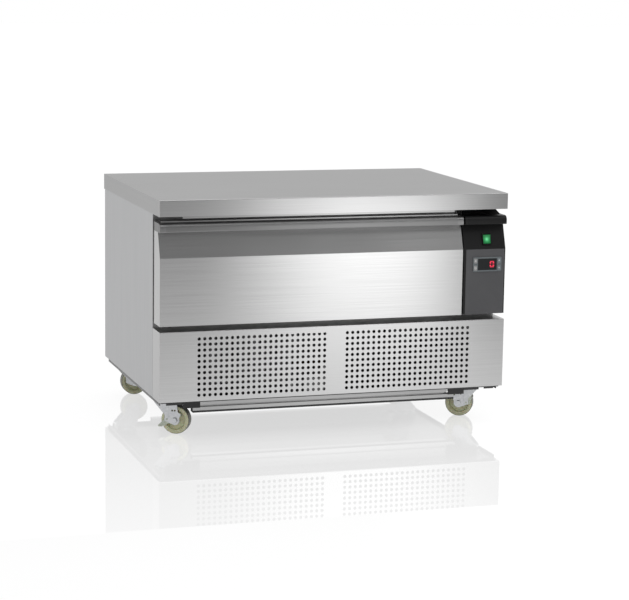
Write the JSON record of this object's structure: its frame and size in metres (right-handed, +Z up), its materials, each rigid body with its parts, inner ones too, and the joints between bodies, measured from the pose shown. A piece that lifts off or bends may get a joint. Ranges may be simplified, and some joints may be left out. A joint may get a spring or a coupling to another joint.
{
  "type": "refrigerated drawer unit",
  "caption": "Low stainless refrigerated unit on casters with one wide pull-out drawer, a side control column and a perforated machine base.",
  "frame": {"origin": "on the floor, under the middle of the worktop", "axes": "+Z up, the drawer opens towards -Y, X along the front"},
  "size_m": [0.95, 0.66, 0.625],
  "materials": {
    "worktop_steel": "satin",
    "board_core": "matte",
    "side_steel": "satin",
    "galvanised_steel": "satin",
    "frame_steel": "satin",
    "liner_steel": "satin",
    "foam": "matte",
    "coil_aluminium": "satin",
    "black_plastic": "satin",
    "grey_plastic": "matte",
    "zinc_plate": "satin",
    "zinc_bolts": "satin",
    "chassis_steel": "satin",
    "rail_steel": "satin",
    "base_steel": "satin",
    "plate_grey": "satin",
    "controller_grey": "satin",
    "display_dark": "gloss",
    "key_grey": "satin",
    "key_light": "satin",
    "rocker_green": "gloss",
    "black_enamel": "gloss",
    "black_rubber": "matte",
    "cast_black": "matte",
    "copper": "satin",
    "front_steel": "satin",
    "handle_steel": "satin",
    "inner_plastic": "satin",
    "gasket_rubber": "matte",
    "fork_zinc": "satin",
    "pedal_zinc": "satin",
    "wheel_nylon": "satin"
  },
  "bodies": {
    "cabinet": {"worktop": "worktop_steel", "worktop_core": "board_core", "left_side_panel": "side_steel", "right_side_panel": "side_steel", "back_panel": "side_steel", "mid_deck": "galvanised_steel", "front_frame": "frame_steel", "compartment_liner": "liner_steel", "insulation": "foam", "evaporator_cover": "liner_steel", "evaporator_coil": "coil_aluminium", "evaporator_fan_frame": "black_plastic", "fixed_runners": "zinc_plate", "chassis_pan": "chassis_steel", "front_cross_rail": "rail_steel", "rear_cross_rail": "rail_steel", "base_panel": "base_steel", "control_housing": "black_plastic", "control_plate": "plate_grey", "controller_body": "controller_grey", "display_window": "display_dark", "rocker_bezel": "black_plastic", "compressor": "black_enamel", "compressor_mounts": "black_rubber", "condenser_coil": "coil_aluminium", "condenser_fan_shroud": "galvanised_steel", "condenser_fan_motor": "cast_black", "filter_drier": "copper", "evaporation_tray": "black_plastic", "terminal_box": "plate_grey", "cord_grommet": "black_rubber", "caster_plates": "zinc_plate", "caster_bolts": "zinc_bolts"},
    "drawer": {"drawer_front_skin": "front_steel", "drawer_front_core": "foam", "drawer_handle": "handle_steel", "drawer_handle_caps": "handle_steel", "drawer_inner_panel": "inner_plastic", "drawer_gasket": "gasket_rubber", "pan_frame": "liner_steel", "pan_divider": "liner_steel", "drawer_runners": "zinc_plate"},
    "middle_runner": {"middle_runners": "zinc_plate"},
    "evaporator_fan": {"evaporator_fan_rotor": "grey_plastic"},
    "condenser_fan": {"condenser_fan_rotor": "grey_plastic"},
    "rocker": {"rocker_switch": "rocker_green"},
    "up_key": {"key_up": "key_grey"},
    "down_key": {"key_down": "key_grey"},
    "set_key": {"key_set": "key_light"},
    "power_key": {"key_power": "key_light"},
    "caster_front_left": {"fork_front_left": "fork_zinc"},
    "wheel_front_left": {"wheel_front_left": "wheel_nylon"},
    "caster_front_right": {"fork_front_right": "fork_zinc"},
    "wheel_front_right": {"wheel_front_right": "wheel_nylon"},
    "caster_rear_left": {"fork_rear_left": "fork_zinc"},
    "wheel_rear_left": {"wheel_rear_left": "wheel_nylon"},
    "caster_rear_right": {"fork_rear_right": "fork_zinc"},
    "wheel_rear_right": {"wheel_rear_right": "wheel_nylon"},
    "pedal_left": {"brake_pedal_left": "pedal_zinc"},
    "pedal_right": {"brake_pedal_right": "pedal_zinc"}
  },
  "joints": [
    {"name": "drawer_slide", "type": "slide", "parent": "cabinet", "child": "drawer", "axis": [0, -1, 0], "range_m": [0, 0.5]},
    {"name": "middle_runner_slide", "type": "slide", "parent": "cabinet", "child": "middle_runner", "axis": [0, -1, 0], "range_m": [0, 0.25]},
    {"name": "evaporator_fan_spin", "type": "hinge", "parent": "cabinet", "child": "evaporator_fan", "pos_m": [0.317, 0.19, 0.4], "axis": [-1, 0, 0], "continuous": true},
    {"name": "condenser_fan_spin", "type": "hinge", "parent": "cabinet", "child": "condenser_fan", "pos_m": [-0.205, -0.17, 0.184], "axis": [0, 1, 0], "continuous": true},
    {"name": "rocker_tip", "type": "hinge", "parent": "cabinet", "child": "rocker", "pos_m": [0.421, -0.31569, 0.50106], "axis": [1, 0, 0], "range_deg": [-16, 0]},
    {"name": "up_key_press", "type": "slide", "parent": "cabinet", "child": "up_key", "axis": [0, 1, 0], "range_m": [0, 0.0008], "stiffness_N_per_m": 1000},
    {"name": "down_key_press", "type": "slide", "parent": "cabinet", "child": "down_key", "axis": [0, 1, 0], "range_m": [0, 0.0008], "stiffness_N_per_m": 1000},
    {"name": "set_key_press", "type": "slide", "parent": "cabinet", "child": "set_key", "axis": [0, 1, 0], "range_m": [0, 0.0008], "stiffness_N_per_m": 1000},
    {"name": "power_key_press", "type": "slide", "parent": "cabinet", "child": "power_key", "axis": [0, 1, 0], "range_m": [0, 0.0008], "stiffness_N_per_m": 1000},
    {"name": "front_left_swivel", "type": "hinge", "parent": "cabinet", "child": "caster_front_left", "pos_m": [-0.424, -0.215, 0.08], "axis": [0, 0, 1], "continuous": true},
    {"name": "front_left_roll", "type": "hinge", "parent": "caster_front_left", "child": "wheel_front_left", "pos_m": [-0.40235, -0.2275, 0.0375], "axis": [0.5, 0.866, 0], "continuous": true},
    {"name": "front_right_swivel", "type": "hinge", "parent": "cabinet", "child": "caster_front_right", "pos_m": [0.424, -0.215, 0.08], "axis": [0, 0, 1], "continuous": true},
    {"name": "front_right_roll", "type": "hinge", "parent": "caster_front_right", "child": "wheel_front_right", "pos_m": [0.40235, -0.2025, 0.0375], "axis": [0.5, 0.866, 0], "continuous": true},
    {"name": "rear_left_swivel", "type": "hinge", "parent": "cabinet", "child": "caster_rear_left", "pos_m": [-0.424, 0.284, 0.08], "axis": [0, 0, 1], "continuous": true},
    {"name": "rear_left_roll", "type": "hinge", "parent": "caster_rear_left", "child": "wheel_rear_left", "pos_m": [-0.399, 0.284, 0.0375], "axis": [0, 1, 0], "continuous": true},
    {"name": "rear_right_swivel", "type": "hinge", "parent": "cabinet", "child": "caster_rear_right", "pos_m": [0.424, 0.284, 0.08], "axis": [0, 0, 1], "continuous": true},
    {"name": "rear_right_roll", "type": "hinge", "parent": "caster_rear_right", "child": "wheel_rear_right", "pos_m": [0.399, 0.284, 0.0375], "axis": [0, 1, 0], "continuous": true},
    {"name": "left_pedal_lift", "type": "hinge", "parent": "caster_front_left", "child": "pedal_left", "pos_m": [-0.42054, -0.217, 0.039], "axis": [0.5, 0.866, 0], "range_deg": [0, 110]},
    {"name": "right_pedal_press", "type": "hinge", "parent": "caster_front_right", "child": "pedal_right", "pos_m": [0.42054, -0.213, 0.039], "axis": [0.5, 0.866, 0], "range_deg": [0, 110]}
  ],
  "couplings": [
    {"joint": "middle_runner_slide", "follows": "drawer_slide", "ratio": 0.5}
  ]
}
